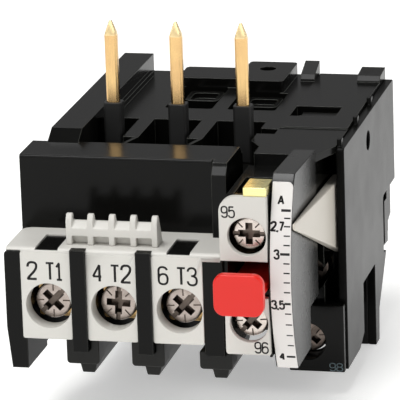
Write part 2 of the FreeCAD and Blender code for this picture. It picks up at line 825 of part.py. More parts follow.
def plug_pins():
    for i in range(POLES):
        side, depth = pin_side(i), p.pin_depth
        bottom = p.bimetal_top + p.winding_wall
        shoulder = p.pin_top - p.pin_point
        pin = new_body(f"plug_pin_{i + 1}")
        pad(pin, "blade", "XY", bottom, p.pin_top, blade_section(i))
        for name, plane, middle, half in (
            ("point_sides", "XZ", side, p.pin_width / 2),
            ("point_faces", "YZ", depth, p.pin_thickness / 2),
        ):
            flat = 0.2
            low, high = (depth, depth) if plane == "XZ" else (side, side)
            pocket(pin, name, plane, low - 2, high + 2, *[
                [(middle + turn * half, shoulder), (middle + turn * (half + 1), shoulder),
                 (middle + turn * (half + 1), p.pin_top + 1),
                 (middle + turn * flat, p.pin_top + 1), (middle + turn * flat, p.pin_top)]
                for turn in (-1, 1)
            ])
        place(pin)
        sleeve = new_body(f"pin_sleeve_{i + 1}")
        pad(sleeve, "sleeve", "XY", p.pocket_floor, p.sleeve_top,
            cut_rectangle(i, p.sleeve_width / 2, p.sleeve_depth / 2), blade_section(i))
        place(sleeve)


# ----------------------------------------------------------------------------
# Auxiliary terminals, reset button, scale and pointer
# ----------------------------------------------------------------------------


def aux_covers():
    upper = new_body("aux_cover_upper")
    pad(upper, "face", "XZ", 0, p.aux_depth, [
        (p.aux_left, p.window_top), (p.aux_right, p.window_top), (p.aux_right, p.aux_top),
        (p.aux_left, p.aux_top, 2.6),
    ])
    pocket(upper, "access_hole", "XZ", -1, p.aux_depth + 1, (
        p.aux_screw_side, p.upper_aux_height, p.aux_access_radius))
    place(upper)
    lower = new_body("aux_cover_lower")
    pad(lower, "face", "XZ", 0, p.aux_depth, [
        (p.aux_left + 0.6, p.aux_bottom, 0.5), (p.aux_right, p.aux_bottom),
        (p.aux_right, p.window_bottom), (p.aux_left + 0.6, p.window_bottom),
    ])
    pocket(lower, "access_hole", "XZ", -1, p.aux_depth + 1, (
        p.aux_screw_side, p.lower_aux_height, p.aux_access_radius))
    place(lower)


def aux_terminals():
    heights = {"upper": p.upper_aux_height, "lower": p.lower_aux_height}
    for name, angle in (("upper", 88), ("lower", 45)):
        height = heights[name]
        screw(f"aux_screw_{name}", p.aux_screw_side, head_front, height,
              p.aux_head_radius, p.shank_radius, p.well_back - head_front, angle)
        plate = new_body(f"aux_plate_{name}")
        pad(plate, "plate", "XZ", p.well_back - 1.2, p.well_back, rect(
            p.aux_screw_side - 3.1, height - 3.2, p.aux_screw_side + 3.1, height + 3.2), (
            p.aux_screw_side, height, p.shank_radius))
        place(plate)
    rear_terminals()
    block("contact_lug", (41.0, p.aux_right), (0.4, 5.9), (p.aux_top, p.aux_top + 1.5))


def rear_terminals():
    """Screws and plates of the terminals beside and above the rear block."""
    spots = {
        "lower": (p.rear_lower_height, p.right_front + 1.5, p.lower_block_back - 2.5),
        "upper": (p.rear_upper_height, p.right_front + 5.0, p.right_front + 8.6),
    }
    for name, angle in (("lower", 40), ("upper", 10)):
        height, front, end = spots[name]
        screw(f"rear_screw_{name}", p.rear_screw_side, front, height,
              p.aux_head_radius, p.shank_radius, end - front, angle)
        plate = new_body(f"rear_plate_{name}")
        pad(plate, "plate", "XZ", end - 1.2, end, (
            p.rear_screw_side, height, p.aux_head_radius), (
            p.rear_screw_side, height, p.shank_radius))
        place(plate)


def reset_button():
    """Button whose stem is narrower than its plate and tapers below."""
    body = new_body("reset_button")
    front = -p.button_proud
    top = p.button_top
    plate_back = front + p.button_plate
    stem_left = p.aux_screw_side - p.stem_width / 2
    pad(body, "plate", "XZ", front, plate_back, rect(
        button_left, top - p.button_height, button_left + p.button_width, top, p.button_corner))
    pad(body, "stem", "YZ", stem_left, stem_left + p.stem_width, [
        (plate_back - 0.5, top - 0.2),
        (plate_back - 0.5, top - p.stem_height - 1.2),
        (plate_back, top - p.stem_height - 1.2),
        (p.aux_depth - p.button_travel - 1.2, top - p.stem_height),
        (p.stem_reach, top - p.stem_height),
        (p.stem_reach, top - 0.2),
    ])
    return place(body)


def reset_spring():
    """Bent leaf that pushes the button's stem forward."""
    body = new_body("reset_spring")
    front, back = p.stem_reach, p.stem_reach + p.button_travel + 0.6
    middle = p.button_top - 2.4
    low = p.aux_screw_side - 1.5
    pad(body, "leaf", "YZ", low, low + 3.0, [
        (front, middle), (back - 0.4, middle - 1.6), (back, middle - 1.6), (back, middle - 1.2),
        (front + 0.4, middle + 0.5), (front, middle + 0.5),
    ])
    return place(body)


def scale_wall():
    """Plate whose front rim is an arc about the pointer's pivot."""
    body = new_body("scale_wall")
    sketch = new_sketch(body, "outline", "YZ", p.scale_left)
    scale_outline(sketch, p.scale_radius)
    feature = body.newObject("PartDesign::Pad", "plate")
    feature.Profile = sketch
    bind(feature, "Length", p.scale_width)
    return place(body)


def rim_spot(radius, height):
    """Depth of the rim at a height: on the circle about the pivot."""
    rise = height - p.pivot_height
    root = Size(
        math.sqrt(radius.value ** 2 - rise.value ** 2),
        f"sqrt({radius.formula} * {radius.formula} - {rise.formula} * {rise.formula})",
    )
    return p.pivot_depth - root


def scale_outline(sketch, radius):
    """Arc rim between two heights, closed by straight sides at the back."""
    bottom, top = -p.scale_drop, p.scale_top
    bevel = as_size(1.1)
    y_low, y_high = rim_spot(radius, bottom), rim_spot(radius, top - bevel)
    low_back = as_size(15.0)
    corners = [
        (y_low, bottom), (low_back, bottom), (low_back, as_size(2.4)),
        (deck_front, as_size(2.4)), (deck_front, top - 0.7), (y_high + bevel, top),
        (y_high, top - bevel),
    ]
    spots = [FreeCAD.Vector(u.value, v.value, 0) for u, v in corners]
    for start, end in zip(spots, spots[1:]):
        sketch.addGeometry(Part.LineSegment(start, end), False)
    for i, (u, v) in enumerate(corners[:-1]):
        pin_point(sketch, i, 1, u, v)
        if i:
            sketch.addConstraint(Sketcher.Constraint("Coincident", i - 1, 2, i, 1))
    last = len(corners) - 2
    pin_point(sketch, last, 2, *corners[-1])
    centre = FreeCAD.Vector(p.pivot_depth.value, p.pivot_height.value, 0)
    ends = [math.atan2(spot.y - centre.y, spot.x - centre.x) for spot in (spots[-1], spots[0])]
    circle = Part.Circle(centre, FreeCAD.Vector(0, 0, 1), radius.value)
    arc = sketch.addGeometry(Part.ArcOfCircle(circle, ends[0], ends[1] + 2 * math.pi), False)
    sketch.addConstraint(Sketcher.Constraint("Coincident", last, 2, arc, 1))
    sketch.addConstraint(Sketcher.Constraint("Coincident", arc, 2, 0, 1))
    index = sketch.addConstraint(Sketcher.Constraint("Radius", arc, radius.value))
    bind(sketch, f"Constraints[{index}]", radius)


def scale_label():
    """Thin strip bent round the rim: a slice of a tube about the pivot."""
    bottom, top = -p.scale_drop + 0.2, p.scale_top - 1.9
    inner = p.scale_radius + 0.05
    outer = inner + p.label_thickness
    body = new_body("scale_label")
    pad(body, "ring", "YZ", p.scale_left + 0.05, scale_right - 0.3, (
        p.pivot_depth, p.pivot_height, outer), (p.pivot_depth, p.pivot_height, inner))
    pocket(body, "keep_front", "YZ", p.scale_left - 1, scale_right + 1, [
        (p.pivot_depth - p.scale_radius * 0.5, p.pivot_height - p.scale_radius - 2),
        (p.pivot_depth + p.scale_radius + 2, p.pivot_height - p.scale_radius - 2),
        (p.pivot_depth + p.scale_radius + 2, p.pivot_height + p.scale_radius + 2),
        (p.pivot_depth - p.scale_radius * 0.5, p.pivot_height + p.scale_radius + 2),
    ])
    pocket(body, "trim_ends", "YZ", p.scale_left - 1, scale_right + 1,
           rect(-5, top, 60, top + 30), rect(-5, bottom - 30, 60, bottom))
    return place(body)


def setting_pointer():
    """Triangular lever whose tip shows the set current on the scale."""
    body = new_body("setting_pointer")
    tip = rim_spot(p.scale_radius, p.pointer_tip) - 0.2
    back = p.pivot_depth + 2.5
    pad(body, "lever", "YZ", pointer_left, pointer_right, [
        (tip, p.pointer_tip - 0.5),
        (back, p.pivot_height - 5.5, 1.0),
        (back, p.pointer_tip - 0.7, 1.0),
        (tip, p.pointer_tip + 0.5),
    ])
    pocket(body, "taper", "XY", as_size(-5.0), p.pointer_tip + 5, [
        (pointer_left + 0.35, tip - 1), (pointer_right + 1, tip - 1),
        (pointer_right + 1, p.right_front + 2), (pointer_right, p.right_front + 2),
    ])
    pad(body, "journal", "YZ", scale_right - 4, pointer_left, (
        p.pivot_depth, p.pivot_height, p.pivot_radius - 0.05))
    return place(body)


# ----------------------------------------------------------------------------
# Bimetals, windings and trip linkage
# ----------------------------------------------------------------------------


def bimetals():
    half = p.strip_thickness / 2
    wall = p.winding_wall
    for i in range(POLES):
        side = pin_side(i)
        block(f"bimetal_{i + 1}", (side - half, side + half),
              (p.bimetal_front, p.bimetal_back), (p.bimetal_bottom, p.bimetal_top))
        winding = new_body(f"heater_winding_{i + 1}")
        pad(winding, "former", "XZ", p.winding_front, p.winding_back,
            rect(side - half - wall, p.bimetal_bottom - wall, side + half + wall,
                 p.bimetal_top + wall, 0.4),
            rect(side - half, p.bimetal_bottom, side + half, p.bimetal_top))
        place(winding)


def trip_slide():
    """Bar across the three poles with a finger beside each bimetal."""
    body = new_body("trip_slide")
    front, back = p.slide_front, p.slide_front + p.slide_thickness
    low, high = p.slide_bottom, p.slide_bottom + p.slide_height
    end = p.trip_lever_side - 0.8 - p.running_gap * 2
    pad(body, "bar", "XY", low, high, rect(
        p.tunnel_end + 1.5, front, end, back))
    half = p.strip_thickness / 2
    for i in range(POLES):
        left = pin_side(i) + half + p.running_gap
        pad(body, f"finger_{i + 1}", "XY", p.bimetal_bottom + 1, low + 0.5, rect(
            left, front, left + 1.4, back))
    return place(body)


def trip_lever():
    """Lever that the slide pushes over about its pin at the tunnel's floor."""
    body = new_body("trip_lever")
    side = p.trip_lever_side
    low = p.slide_bottom + p.slide_height / 2 - p.trip_arm
    high = p.slide_bottom + p.slide_height
    front = p.slide_front - 0.6
    back = p.slide_front + p.slide_thickness + 0.6
    pad(body, "arm", "XZ", front, back, [
        (side - 1.8, low - 1.2, 0.8), (side + 1.8, low - 1.2, 0.8), (side + 0.8, high, 0.5),
        (side - 0.8, high, 0.5),
    ])
    pocket(body, "pin_hole", "XZ", front - 1, back + 1, (side, low, 0.8 + 0.05))
    place(body)
    pin = new_body("trip_lever_pin")
    pad(pin, "pin", "XZ", p.chamber_back - 2, p.tunnel_back, (side, low, 0.8))
    place(pin)


base_housing()
deck_frame()
terminal_frame()
aux_block()
rear_terminal_block()
side_cover()
bottom_plate()
main_terminal_cover()
label_comb()
wire_guides()
main_terminals()
plug_pins()
aux_covers()
aux_terminals()
reset_button()
reset_spring()
scale_wall()
scale_label()
setting_pointer()
bimetals()
trip_slide()
trip_lever()

doc.recompute()

faults = [
    item.Label + ": " + ", ".join(item.State)
    for item in doc.Objects
    if "Invalid" in item.State or "Error" in item.State
]
sub_parts = [item for item in doc.Objects if item.TypeId == "PartDesign::Body"]
for item in sub_parts:
    if item.Shape.isNull() or not item.Shape.isValid():
        faults.append(item.Label + ": its shape is missing or not valid")
    elif len(item.Shape.Solids) != 1:
        faults.append(f"{item.Label}: {len(item.Shape.Solids)} solids")
if faults:
    raise RuntimeError("the model did not build:\n" + "\n".join(faults))

os.makedirs("parts", exist_ok=True)
for item in sub_parts:
    item.Shape.exportStep(os.path.join("parts", item.Label + ".step"))
print(len(sub_parts), "sub-parts written")
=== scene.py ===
import json
import math

import bmesh
import bpy
from mathutils import Matrix, Vector


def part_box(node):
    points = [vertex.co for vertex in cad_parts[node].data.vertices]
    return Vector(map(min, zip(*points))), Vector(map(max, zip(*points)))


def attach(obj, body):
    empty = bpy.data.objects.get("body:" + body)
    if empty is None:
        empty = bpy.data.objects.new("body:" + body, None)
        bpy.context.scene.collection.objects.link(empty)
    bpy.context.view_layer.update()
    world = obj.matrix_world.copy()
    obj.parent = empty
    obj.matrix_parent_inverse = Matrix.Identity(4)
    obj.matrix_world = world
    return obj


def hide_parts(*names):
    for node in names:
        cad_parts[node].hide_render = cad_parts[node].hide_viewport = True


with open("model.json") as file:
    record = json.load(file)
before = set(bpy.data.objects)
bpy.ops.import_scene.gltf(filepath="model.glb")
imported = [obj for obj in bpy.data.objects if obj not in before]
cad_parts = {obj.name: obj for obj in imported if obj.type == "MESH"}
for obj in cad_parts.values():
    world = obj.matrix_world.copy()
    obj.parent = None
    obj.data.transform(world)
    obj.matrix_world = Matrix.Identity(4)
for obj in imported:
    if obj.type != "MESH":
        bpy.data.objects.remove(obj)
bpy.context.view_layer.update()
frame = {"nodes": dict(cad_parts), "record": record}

nodes = frame["nodes"]
MM = 0.001


# --- Camera -----------------------------------------------------------------
# A long lens stands above and to the right of the relay's front, as is usual in a
# catalogue, far enough back to draw the housing with little perspective.

def camera_axes(azimuth, elevation, roll):
    """Axes of a camera that looks along +Y at 0, 0 and then moves right and up."""
    side, lift, lean = (math.radians(angle) for angle in (azimuth, elevation, roll))
    forward = Vector((
        -math.sin(side) * math.cos(lift),
        math.cos(side) * math.cos(lift),
        -math.sin(lift),
    ))
    level = Vector((math.cos(side), math.sin(side), 0))
    tilted = math.cos(lean) * level + math.sin(lean) * level.cross(forward)
    return tilted, tilted.cross(forward), forward


camera_data = bpy.data.cameras.new("catalogue_camera")
camera_data.sensor_width = 36
camera_data.lens = 351.2
camera = bpy.data.objects.new("catalogue_camera", camera_data)
bpy.context.scene.collection.objects.link(camera)
right, up, forward = camera_axes(azimuth=13.43, elevation=16.28, roll=-1.9)
looked_at = Vector((2.1, -10.9, 35.1)) * MM
distance = 663.4 * MM
turned = Matrix((right, up, -forward)).transposed()
camera.matrix_world = Matrix.Translation(looked_at - forward * distance) @ turned.to_4x4()
bpy.context.scene.camera = camera


# --- Studio -----------------------------------------------------------------
# A pale table and large soft lamps: the black mouldings mirror the table and the
# lamps, which is what gives their flanks a grey sheen.

def linear(code):
    """The linear colour of an sRGB hex value."""
    channels = [int(code[i:i + 2], 16) / 255 for i in (1, 3, 5)]
    return tuple(
        c / 12.92 if c <= 0.04045 else ((c + 0.055) / 1.055) ** 2.4 for c in channels
    ) + (1.0,)


def node(tree, kind, links=(), **settings):
    """Add a node; settings name its sockets or properties, links feed its sockets."""
    made = tree.nodes.new(kind)
    for name, value in settings.items():
        socket = name.replace("_", " ").title().replace("Ior", "IOR")
        if socket in made.inputs:
            made.inputs[socket].default_value = value
        else:
            setattr(made, name, value)
    for source, target in links:
        tree.links.new(source, made.inputs[target])
    return made


def new_material(name):
    """A material with an empty node tree, and that tree."""
    material = bpy.data.materials.new(name)
    material.use_nodes = True
    material.node_tree.nodes.clear()
    return material, material.node_tree


relay_middle = Vector((0, 0, 0.03))


def soft_lamp(name, place, width, height, power):
    """A white panel in metres and watts, turned to the middle of the relay."""
    lamp = bpy.data.lights.new(name, "AREA")
    lamp.shape = "RECTANGLE"
    lamp.size, lamp.size_y = width, height
    lamp.energy = power
    holder = bpy.data.objects.new(name, lamp)
    holder.location = place
    direction = relay_middle - Vector(place)
    holder.rotation_euler = direction.to_track_quat("-Z", "Y").to_euler()
    bpy.context.scene.collection.objects.link(holder)


soft_lamp("lamp_overhead", (-0.15, -0.28, 0.92), width=0.5, height=0.5, power=6.9)
soft_lamp("lamp_front", (-0.25, -1.0, 0.45), width=0.8, height=0.35, power=2.9)
soft_lamp("lamp_back", (-0.3, 0.9, 0.85), width=0.8, height=0.5, power=1.8)
soft_lamp("lamp_right", (0.85, -0.1, 0.4), width=0.5, height=0.5, power=3.0)

world = bpy.data.worlds.new("studio_air")
world.use_nodes = True
air = world.node_tree.nodes["Background"]
air.inputs["Color"].default_value = linear("#FFFFFF")
air.inputs["Strength"].default_value = 0.24
bpy.context.scene.world = world
bpy.context.scene.view_settings.view_transform = "Standard"

bpy.ops.mesh.primitive_plane_add(size=3.0, location=(0, 0, 0))
table = bpy.context.object
table.name = "table_top"
# White laminate lit from below: matt, and a little brighter than the lamps make it.
material, tree = new_material("matt_white_table")
grain = node(tree, "ShaderNodeTexNoise", scale=900.0, detail=3.0)
bump = node(tree, "ShaderNodeBump", [(grain.outputs["Fac"], "Height")], strength=0.02)
shader = node(tree, "ShaderNodeBsdfPrincipled", [(bump.outputs["Normal"], "Normal")],
              base_color=linear("#F4F4F2"), roughness=0.7,
              emission_color=linear("#FFFFFF"), emission_strength=0.38)
node(tree, "ShaderNodeOutputMaterial", [(shader.outputs["BSDF"], "Surface")])
table.data.materials.append(material)


# --- Housing ----------------------------------------------------------------
# Tub, bottom plate, deck frame, terminal frame and terminal blocks of black
# glass-filled polyamide, moulded and snapped together. The sharp tool edges come
# out slightly rounded, and the polished tool leaves a sheen with a faint grain.

def moulded(name, base, flow, roughness, grain_mm, grain_depth, specular, edge_highlight=None):
    """Moulded plastic: the colours of its body and its flow marks, its gloss, the tool's grain in
    millimetres and, if given, a lighter colour painted along its edges as a painted highlight. The
    grain is drawn several times coarser than the real one, which would not show."""
    flow_mm, wipe_mm, edge_mm = 9.0, 6.0, 0.22
    material, tree = new_material(name)
    place = node(tree, "ShaderNodeTexCoord").outputs["Object"]
    marks = node(tree, "ShaderNodeTexNoise", [(place, "Vector")], scale=1 / (flow_mm * MM),
                 detail=4.0)
    colour = node(tree, "ShaderNodeMix", [(marks.outputs["Fac"], "Factor")], data_type="RGBA")
    colour.inputs["A"].default_value = linear(base)
    colour.inputs["B"].default_value = linear(flow)
    grain = node(tree, "ShaderNodeTexNoise", [(place, "Vector")],
                 scale=1 / (grain_mm * MM), detail=2.0)
    edges = node(tree, "ShaderNodeBevel", samples=6, radius=edge_mm * MM)
    body = colour.outputs["Result"]
    # On a flat face the rounded normal is the face's own, and the two match fully. Where they part,
    # along rounded edges, the colour is painted lighter: a painted highlight.
    if edge_highlight:
        flat = node(tree, "ShaderNodeNewGeometry").outputs["Normal"]
        match = node(tree, "ShaderNodeVectorMath", [(flat, 0), (edges.outputs["Normal"], 1)],
                     operation="DOT_PRODUCT")
        rim = node(tree, "ShaderNodeMapRange", [(match.outputs["Value"], "Value")])
        rim.inputs["From Min"].default_value = 0.995
        rim.inputs["From Max"].default_value = 0.8
        painted_edge_colour = node(tree, "ShaderNodeMix", [
            (rim.outputs["Result"], "Factor"), (body, "A")], data_type="RGBA")
        painted_edge_colour.inputs["B"].default_value = linear(edge_highlight)
        body = painted_edge_colour.outputs["Result"]
    bump = node(tree, "ShaderNodeBump", [
        (grain.outputs["Fac"], "Height"),
        (edges.outputs["Normal"], "Normal"),
    ], strength=0.3, distance=grain_depth * MM)
    wipe = node(tree, "ShaderNodeTexNoise", [(place, "Vector")], scale=1 / (wipe_mm * MM),
                detail=3.0)
    gloss = node(tree, "ShaderNodeMapRange", [(wipe.outputs["Fac"], "Value")])
    gloss.inputs["From Min"].default_value = 0.3
    gloss.inputs["From Max"].default_value = 0.7
    gloss.inputs["To Min"].default_value = roughness - 0.02
    gloss.inputs["To Max"].default_value = roughness + 0.03
    shader = node(tree, "ShaderNodeBsdfPrincipled", [
        (body, "Base Color"),
        (gloss.outputs["Result"], "Roughness"),
        (bump.outputs["Normal"], "Normal"),
    ], ior=1.5, specular_ior_level=specular)
    node(tree, "ShaderNodeOutputMaterial", [(shader.outputs["BSDF"], "Surface")])
    return material


# The record names the finish of each piece, and the body that it rides on.
slots = {part["node"]: part["material_slot"] for part in frame["record"]["subparts"]}
riding = {name: body for body, members in frame["record"]["behaviour"]["bodies"].items()
          for name in members}


def only(piece):
    """Select this piece alone and make it active."""
    bpy.ops.object.select_all(action="DESELECT")
    piece.select_set(True)
    bpy.context.view_layer.objects.active = piece


def pick_edges(piece, wanted):
    """In edit mode, select the edges whose two ends both pass the test."""
    bpy.ops.mesh.select_all(action="DESELECT")
    bpy.ops.mesh.select_mode(type="EDGE")
    shape = bmesh.from_edit_mesh(piece.data)
    for edge in shape.edges:
        if all(wanted(end.co) for end in edge.verts):
            edge.select_set(True)
    bmesh.update_edit_mesh(piece.data)


def clean_copy(name):
    """A welded copy of a CAD piece, with its flat faces made whole again."""
    piece = bpy.data.objects.new(name + "_finished", nodes[name].data.copy())
    bpy.context.scene.collection.objects.link(piece)
    only(piece)
    bpy.ops.object.mode_set(mode="EDIT")
    bpy.ops.mesh.select_all(action="SELECT")
    bpy.ops.mesh.remove_doubles(threshold=0.002 * MM)
    bpy.ops.mesh.dissolve_limited(angle_limit=math.radians(0.5))
    bpy.ops.object.mode_set(mode="OBJECT")
    return piece


def soften(piece, radius, sharper_than=32):
    """Round the edges of a piece by a radius in millimetres, and keep its faces flat."""
    only(piece)
    rounding = piece.modifiers.new("rounded_edges", "BEVEL")
    rounding.width = radius * MM
    rounding.segments = 2
    rounding.limit_method = "ANGLE"
    rounding.angle_limit = math.radians(sharper_than)
    rounding.use_clamp_overlap = False
    rounding.miter_outer = "MITER_ARC"
    bpy.ops.object.modifier_apply(modifier=rounding.name)
    bpy.ops.object.shade_smooth_by_angle(angle=math.radians(35))
    flatten = piece.modifiers.new("flat_faces", "WEIGHTED_NORMAL")
    flatten.keep_sharp = True
    flatten.weight = 100
    bpy.ops.object.modifier_apply(modifier=flatten.name)


def finish_piece(piece, name, material):
    """Give a finished piece its material and body, in place of its CAD node."""
    piece.data.materials.clear()
    piece.data.materials.append(material)
    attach(piece, riding[name])
    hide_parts(name)


def refinish(name, material):
    """Give a CAD piece that keeps its shape a new material."""
    nodes[name].data.materials.clear()
    nodes[name].data.materials.append(material)


# Near black, with a sheen at low angles and greyish painted highlights along its edges.
black_polyamide = moulded("black_polyamide", "#070706", "#0A0A09", roughness=0.19, grain_mm=0.25,
                          grain_depth=0.006, specular=0.12, edge_highlight="#4A4B47")
for name in ("base_housing", "deck_frame", "aux_block"):
    refinish(name, black_polyamide)
for name, radius in (("terminal_frame", 0.08), ("rear_terminal_block", 0.2),
                     ("bottom_plate", 0.15)):
    piece = clean_copy(name)
    soften(piece, radius)
    finish_piece(piece, name, black_polyamide)


# --- Blade sleeves ----------------------------------------------------------
# Short eight-sided sleeves of matt black polyamide round the foot of each blade,
# pushed on over the brass before it is pressed into the housing.

# A rougher tool leaves the sleeves without the housing's sheen.
matt_sleeve = moulded("matt_black_sleeve", "#161616", "#1B1B1A", roughness=0.5, grain_mm=0.3,
                      grain_depth=0.02, specular=0.4)
for i in (1, 2, 3):
    piece = clean_copy(f"pin_sleeve_{i}")
    soften(piece, 0.12)
    finish_piece(piece, f"pin_sleeve_{i}", matt_sleeve)


# --- Side cover -------------------------------------------------------------
# A thin black polyamide plate snapped to the right flank. Its broad face mirrors
# the bright studio at a low angle.

def cutter(size, place, turn=0.0, taper=1.0):
    """A block to cut with, in millimetres. Its far end may be narrower, and it may
    be turned about the Y axis of the frame."""
    bpy.ops.object.select_all(action="DESELECT")
    bpy.ops.mesh.primitive_cube_add(size=1, location=(0, 0, 0))
    block = bpy.context.object
    block.scale = [side * MM for side in size]
    block.location = [side * MM for side in place]
    bpy.ops.object.transform_apply(location=True, rotation=True, scale=True)
    if taper != 1.0:
        far = max(v.co.y for v in block.data.vertices)
        bpy.ops.object.mode_set(mode="EDIT")
        pick_edges(block, lambda co: co.y > far - 0.01 * MM)
        bpy.ops.transform.resize(value=(taper, 1, taper))
        bpy.ops.object.mode_set(mode="OBJECT")
    block.rotation_euler = (0, turn, 0)
    bpy.ops.object.transform_apply(location=True, rotation=True, scale=True)
    return block


def cut(piece, tool):
    """Take the tool's shape out of a piece, and throw the tool away."""
    only(piece)
    carve = piece.modifiers.new("recess", "BOOLEAN")
    carve.operation = "DIFFERENCE"
    carve.solver = "EXACT"
    carve.object = tool
    bpy.ops.object.modifier_apply(modifier=carve.name)
    bpy.data.objects.remove(tool)


# An upright groove in the floor of the finger notch, with a short slot across it.
piece = clean_copy("side_cover")
outer_face, rear_edge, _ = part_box("side_cover")[1] / MM
notch_depth = 0.9
notch_floor = outer_face - notch_depth
groove_size, groove_inset, groove_height = (0.9, 2.2, 9.6), 7.2, 19.4
cross_size, cross_inset, cross_height = (1.2, 4.4, 2.2), 6.0, 23.4
cut(piece, cutter(groove_size, (notch_floor, rear_edge - groove_inset, groove_height)))
cut(piece, cutter(cross_size, (notch_floor, rear_edge - cross_inset, cross_height)))
soften(piece, 0.12)
# The large flat face reflects less than any other black moulding.
satin_cover = moulded("satin_black_cover", "#0A0A09", "#0D0D0C", roughness=0.24, grain_mm=0.25,
                      grain_depth=0.006, specular=0.06)
finish_piece(piece, "side_cover", satin_cover)


# --- Terminal covers --------------------------------------------------------
# Light grey polyamide: the stepped cover over the three main terminals and the
# two small plates over the auxiliary ones, with a fine matt tool finish.

# A textured tool leaves the grey covers matt, with a slightly uneven tone.
light_grey = moulded("light_grey_polyamide", "#C6C4BE", "#CBC9C3", roughness=0.42, grain_mm=0.25,
                     grain_depth=0.02, specular=0.4)
piece = clean_copy("main_terminal_cover")
cover_low, cover_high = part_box("main_terminal_cover")
front_edge_radius, rear_corner_radius = 0.4 * MM, 1.8 * MM
near = 0.1 * MM
only(piece)
bpy.ops.object.mode_set(mode="EDIT")
# The upper front edge is slightly rounded, and the corner at the rear left is round.
pick_edges(piece, lambda co: co.z > cover_high.z - near and co.y < cover_low.y + near)
bpy.ops.mesh.bevel(offset=front_edge_radius, segments=3, affect="EDGES")
pick_edges(piece, lambda co: co.x < cover_low.x + near and co.y > cover_high.y - near)
bpy.ops.mesh.bevel(offset=rear_corner_radius, segments=6, affect="EDGES")
bpy.ops.object.mode_set(mode="OBJECT")
bpy.ops.object.shade_smooth_by_angle(angle=math.radians(35))

# Two shallow slots in the shelf, above poles 1 and 3, each with a black insert that
# ends just below the shelf.
slot_width, slot_length, slot_depth, slot_inset = 3.9, 7.9, 0.36, 4.35
insert_gap, insert_height, insert_sunk = 0.02, 1.34, 0.23
tool_height = 1.0
shelf = cover_high.z / MM
slot_middle = cover_low.y / MM + slot_inset
slot_places = (-19.0, 3.5)
for place in slot_places:
    cut(piece, cutter((slot_width, slot_length, tool_height),
                      (place, slot_middle, shelf - slot_depth + tool_height / 2)))
finish_piece(piece, "main_terminal_cover", light_grey)
for i, place in enumerate(slot_places):
    bpy.ops.object.select_all(action="DESELECT")
    bpy.ops.mesh.primitive_cube_add(size=1, location=Vector((
        place, slot_middle, shelf - insert_sunk - insert_height / 2)) * MM)
    piece = bpy.context.object
    piece.name = f"marking_rail_{i + 1}"
    piece.scale = Vector((slot_width - 2 * insert_gap, slot_length - 2 * insert_gap,
                          insert_height)) * MM
    bpy.ops.object.transform_apply(location=True, rotation=True, scale=True)
    soften(piece, 0.1)
    piece.data.materials.append(black_polyamide)
    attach(piece, "housing")
for name in ("aux_cover_upper", "aux_cover_lower"):
    refinish(name, light_grey)


# --- Terminal numbers -------------------------------------------------------
# Black numbers and letters, pad printed on the light grey covers, so that they
# lie a film's thickness above the plastic. Thin strokes, of one height per cover.

# Each sign's width, and its strokes as points in a box of width and height 1.
STROKES = {
    "1": (0.6, [[(0, 0.76), (0.5, 1), (0.5, 1), (0.5, 0)], [(0, 0), (1, 0)]]),
    "2": (1.0, [[(0, 0.74), (0, 1.02), (1, 1.02), (1, 0.6), (0.1, 0.12), (0, 0), (0, 0), (1, 0)]]),
    "3": (0.95, [[(0, 0.8), (0.05, 1.02), (0.95, 1.02), (0.95, 0.54), (0.4, 0.54)],
                 [(0.4, 0.54), (1.05, 0.54), (1.05, -0.02), (0, -0.02), (0, 0.22)]]),
    "4": (0.95, [[(0.78, 0), (0.78, 1)], [(0.78, 1), (0, 0.3)], [(0, 0.3), (1, 0.3)]]),
    "5": (0.95, [[(0.9, 1), (0.12, 1), (0.12, 1), (0.05, 0.55), (0.05, 0.55), (0.3, 0.66),
                  (1.03, 0.66), (1.03, -0.02), (0, -0.02), (0, 0.2)]]),
    "6": (1.0, [[(0.95, 0.84), (0.85, 1.02), (0, 1.02), (0, 0.5), (0, -0.02), (1, -0.02),
                 (1, 0.6), (0.1, 0.6), (0, 0.36)]]),
    "7": (0.9, [[(0, 1), (1, 1), (1, 1), (0.35, 0)]]),
    "8": (1.0, [[(0.5, 0.54), (0, 0.56), (0, 1.02), (1, 1.02), (1, 0.56), (0.5, 0.54)],
                [(0.5, 0.54), (-0.05, 0.5), (-0.05, -0.02), (1.05, -0.02), (1.05, 0.5),
                 (0.5, 0.54)]]),
    "9": (1.0, [[(0.05, 0.16), (0.15, -0.02), (1, -0.02), (1, 0.5), (1, 1.02), (0, 1.02),
                 (0, 0.4), (0.9, 0.4), (1, 0.64)]]),
    "A": (1.15, [[(0, 0), (0.5, 1)], [(0.5, 1), (1, 0)], [(0.18, 0.32), (0.82, 0.32)]]),
    "T": (0.9, [[(0, 1), (1, 1)], [(0.5, 1), (0.5, 0)]]),
    ",": (0.25, [[(0.5, 0.04), (0.5, 0), (0, -0.18)]]),
}


